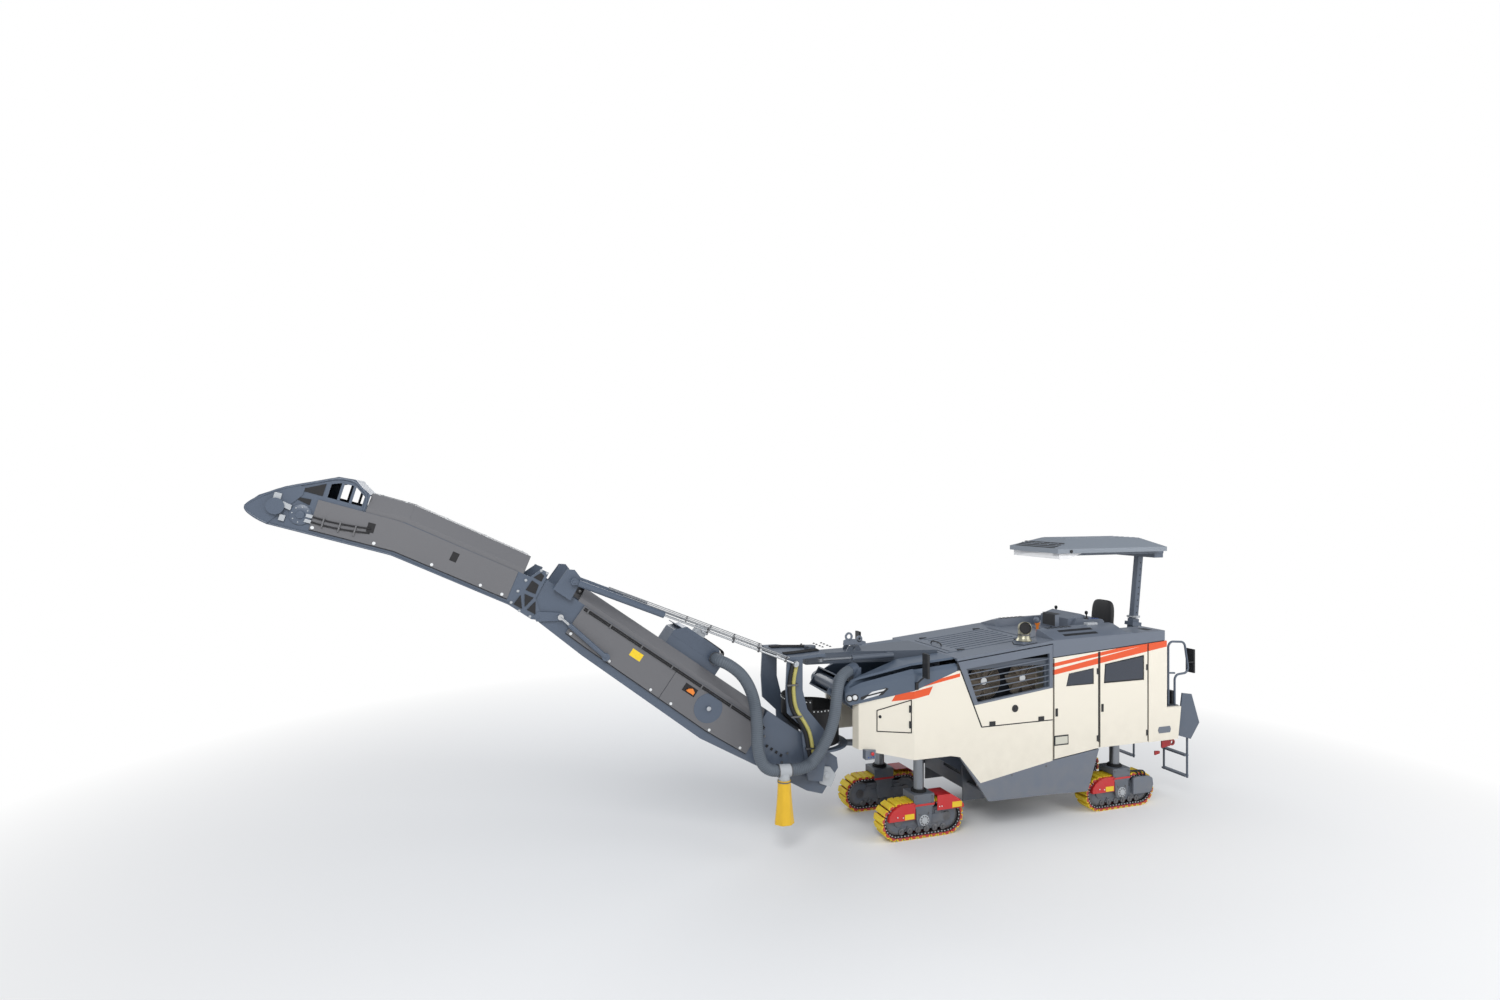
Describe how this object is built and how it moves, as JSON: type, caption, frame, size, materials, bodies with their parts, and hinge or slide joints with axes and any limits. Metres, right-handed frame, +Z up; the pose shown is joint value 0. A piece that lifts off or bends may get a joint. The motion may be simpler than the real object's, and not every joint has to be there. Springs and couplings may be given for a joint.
{
  "type": "cold planer",
  "caption": "Compact cold planer on height-adjustable tracks, with a milling drum, a slewing folding loading conveyor and a lowering canopy.",
  "frame": {"origin": "on the ground, under the middle of the overall length and width", "axes": "+X forward, towards the loading conveyor's tip; +Y to the machine's left; +Z up"},
  "size_m": [13.58, 2.25, 5.1209],
  "materials": {
    "bare_steel": "worn bare steel",
    "black_plastic": "black plastic",
    "cast": "cast iron",
    "chrome_rod": "polished rod",
    "cover_plastic": "moulded dark warm grey covers",
    "cream_paint": "semi-gloss cream paint",
    "dark_paint": "semi-gloss dark blue grey paint",
    "grey_paint": "blue grey paint",
    "hose_grey": "grey ribbed suction hose",
    "light_grey_paint": "light grey paint",
    "pad_yellow": "yellow track pads",
    "rubber_black": "black rubber",
    "seat_black": "black upholstery"
  },
  "bodies": {
    "machine": {"access_ladder": "grey_paint", "chassis_frame": "grey_paint", "control_console": "black_plastic", "cooling_pack": "cast", "drum_housing": "cast", "engine_block": "cast", "handrails": "grey_paint", "hood_shell": "grey_paint", "lower_skirts": "dark_paint", "mast_base": "grey_paint", "mirrors": "black_plastic", "nose_cheeks": "dark_paint", "operator_platform": "grey_paint", "operator_seat": "seat_black", "pickup_conveyor": "grey_paint", "side_panels": "cream_paint", "upper_beam": "grey_paint"},
    "slew": {"slewing_frame": "grey_paint", "chute_apron": "rubber_black", "hose_tee": "bare_steel", "suction_hose_front": "hose_grey", "suction_hose_rear": "hose_grey"},
    "slew_rod": {"slew_cylinder_rod": "chrome_rod"},
    "conveyor_rear": {"conveyor_rear_frame": "grey_paint", "conveyor_rear_belt": "rubber_black", "conveyor_rear_cover": "cover_plastic", "dust_vessel": "grey_paint"},
    "conveyor_front": {"conveyor_front_frame": "grey_paint", "conveyor_front_belt": "rubber_black", "conveyor_front_cover": "cover_plastic", "nose_guard": "grey_paint"},
    "stay_barrels": {"stay_cylinders": "grey_paint"},
    "stay_rods": {"stay_rods": "chrome_rod"},
    "fold_rods": {"fold_cylinder_rods": "chrome_rod"},
    "drum": {"milling_drum": "bare_steel"},
    "scraper": {"scraper_blade": "bare_steel"},
    "engine_hood": {"engine_hood": "grey_paint"},
    "canopy": {"canopy_mast": "light_grey_paint", "canopy_roof": "grey_paint"},
    "fan_front": {"fan_front": "black_plastic"},
    "fan_rear": {"fan_rear": "black_plastic"},
    "storage_door": {"storage_door": "cream_paint"},
    "cooler_flap_left": {"cooler_flap_left": "cream_paint"},
    "air_flap_right": {"air_flap_right": "cream_paint"},
    "side_door_front_left": {"side_door_front_left": "cream_paint"},
    "side_door_rear_left": {"side_door_rear_left": "cream_paint"},
    "side_door_right": {"side_door_right": "cream_paint"},
    "leg_front_left": {"lifting_column_front_left": "chrome_rod"},
    "track_front_left": {"track_front_left": "pad_yellow", "track_frame_front_left": "light_grey_paint"},
    "leg_front_right": {"lifting_column_front_right": "chrome_rod"},
    "track_front_right": {"track_front_right": "pad_yellow", "track_frame_front_right": "light_grey_paint"},
    "leg_rear_left": {"lifting_column_rear_left": "chrome_rod"},
    "track_rear_left": {"track_rear_left": "pad_yellow", "track_frame_rear_left": "light_grey_paint"},
    "leg_rear_right": {"lifting_column_rear_right": "chrome_rod"},
    "track_rear_right": {"track_rear_right": "pad_yellow", "track_frame_rear_right": "light_grey_paint"}
  },
  "joints": [
    {"name": "leg_lift_front_left", "type": "slide", "parent": "machine", "child": "leg_front_left", "axis": [0, 0, -1], "range_m": [0, 0.38]},
    {"name": "steer_front_left", "type": "hinge", "parent": "leg_front_left", "child": "track_front_left", "pos_m": [-1.79, 0.6, 0.27], "axis": [0, 0, 1], "range_deg": [-30, 30]},
    {"name": "leg_lift_front_right", "type": "slide", "parent": "machine", "child": "leg_front_right", "axis": [0, 0, -1], "range_m": [0, 0.38]},
    {"name": "steer_front_right", "type": "hinge", "parent": "leg_front_right", "child": "track_front_right", "pos_m": [-1.79, -0.6, 0.27], "axis": [0, 0, 1], "range_deg": [-30, 30]},
    {"name": "leg_lift_rear_left", "type": "slide", "parent": "machine", "child": "leg_rear_left", "axis": [0, 0, -1], "range_m": [0, 0.38]},
    {"name": "steer_rear_left", "type": "hinge", "parent": "leg_rear_left", "child": "track_rear_left", "pos_m": [-5.32, 0.6, 0.27], "axis": [0, 0, 1], "range_deg": [-25, 25]},
    {"name": "leg_lift_rear_right", "type": "slide", "parent": "machine", "child": "leg_rear_right", "axis": [0, 0, -1], "range_m": [0, 0.38]},
    {"name": "steer_rear_right", "type": "hinge", "parent": "leg_rear_right", "child": "track_rear_right", "pos_m": [-5.32, -0.6, 0.27], "axis": [0, 0, 1], "range_deg": [-25, 25]},
    {"name": "drum_spin", "type": "hinge", "parent": "machine", "child": "drum", "pos_m": [-3.67, -0.33, 0.69], "axis": [0, 1, 0], "continuous": true},
    {"name": "scraper_lift", "type": "slide", "parent": "machine", "child": "scraper", "axis": [0, 0, 1], "range_m": [0, 0.2]},
    {"name": "conveyor_slew", "type": "hinge", "parent": "machine", "child": "slew", "pos_m": [-0.34, 0, 2.65], "axis": [0, 0, 1], "range_deg": [-55, 55], "deforming": ["suction_hose_front"]},
    {"name": "slew_rod_slide", "type": "slide", "parent": "machine", "child": "slew_rod", "axis": [1, 0, 0], "range_m": [-0.33, 0.33]},
    {"name": "conveyor_lift", "type": "hinge", "parent": "slew", "child": "conveyor_rear", "pos_m": [-0.24, 0, 1.15], "axis": [0, -1, 0], "range_deg": [-8, 6], "deforming": ["suction_hose_rear"]},
    {"name": "conveyor_fold", "type": "hinge", "parent": "conveyor_rear", "child": "conveyor_front", "pos_m": [3.56079, 0, 3.37957], "axis": [0, 1, 0], "range_deg": [0, 145]},
    {"name": "fold_rod_slide", "type": "slide", "parent": "conveyor_rear", "child": "fold_rods", "axis": [0.7264, 0, 0.6873], "range_m": [-0.01, 0.527]},
    {"name": "stay_rod_hinge", "type": "hinge", "parent": "slew", "child": "stay_rods", "pos_m": [0.11, 0, 2.59], "axis": [0, -1, 0], "range_deg": [-12, 9]},
    {"name": "stay_barrel_hinge", "type": "hinge", "parent": "conveyor_rear", "child": "stay_barrels", "pos_m": [3.1212, 0, 3.82021], "axis": [0, -1, 0], "range_deg": [-12, 12]},
    {"name": "engine_hood_hinge", "type": "hinge", "parent": "machine", "child": "engine_hood", "pos_m": [-3.835, 0, 2.752], "axis": [0, -1, 0], "range_deg": [0, 60]},
    {"name": "canopy_lower", "type": "slide", "parent": "machine", "child": "canopy", "axis": [0.1045, 0, -0.9945], "range_m": [0, 0.65]},
    {"name": "fan_front_spin", "type": "hinge", "parent": "machine", "child": "fan_front", "pos_m": [-2.74, 0.785, 2.205], "axis": [0, 1, 0], "continuous": true},
    {"name": "fan_rear_spin", "type": "hinge", "parent": "machine", "child": "fan_rear", "pos_m": [-3.41, 0.785, 2.205], "axis": [0, 1, 0], "continuous": true},
    {"name": "side_door_front_left_hinge", "type": "hinge", "parent": "machine", "child": "side_door_front_left", "pos_m": [-4.705, 0.94, 1.7], "axis": [0, 0, 1], "range_deg": [0, 90]},
    {"name": "side_door_rear_left_hinge", "type": "hinge", "parent": "machine", "child": "side_door_rear_left", "pos_m": [-5.655, 0.94, 1.7], "axis": [0, 0, 1], "range_deg": [0, 90]},
    {"name": "side_door_right_hinge", "type": "hinge", "parent": "machine", "child": "side_door_right", "pos_m": [-4.705, -0.94, 1.7], "axis": [0, 0, -1], "range_deg": [0, 90]},
    {"name": "storage_door_hinge", "type": "hinge", "parent": "machine", "child": "storage_door", "pos_m": [-1.48086, 0.91732, 1.8], "axis": [0, 0, 1], "range_deg": [0, 90]},
    {"name": "cooler_flap_left_hinge", "type": "hinge", "parent": "machine", "child": "cooler_flap_left", "pos_m": [-2.99, 0.94, 1.585], "axis": [-1, 0, 0], "range_deg": [0, 100]},
    {"name": "air_flap_right_hinge", "type": "hinge", "parent": "machine", "child": "air_flap_right", "pos_m": [-2.99, -0.94, 1.585], "axis": [1, 0, 0], "range_deg": [0, 100]}
  ],
  "couplings": [
    {"joint": "slew_rod_slide", "follows": "conveyor_slew", "m_per_rad": -0.324},
    {"joint": "fold_rod_slide", "follows": "conveyor_fold", "m_per_rad": 0.2004},
    {"joint": "stay_rod_hinge", "follows": "conveyor_lift", "ratio": 1.2575},
    {"joint": "stay_barrel_hinge", "follows": "conveyor_lift", "ratio": 0.2575},
    {"joint": "leg_lift_front_right", "follows": "leg_lift_front_left", "ratio": 1},
    {"joint": "leg_lift_rear_right", "follows": "leg_lift_rear_left", "ratio": 1},
    {"joint": "steer_front_right", "follows": "steer_front_left", "ratio": 1},
    {"joint": "steer_rear_right", "follows": "steer_rear_left", "ratio": 1}
  ]
}
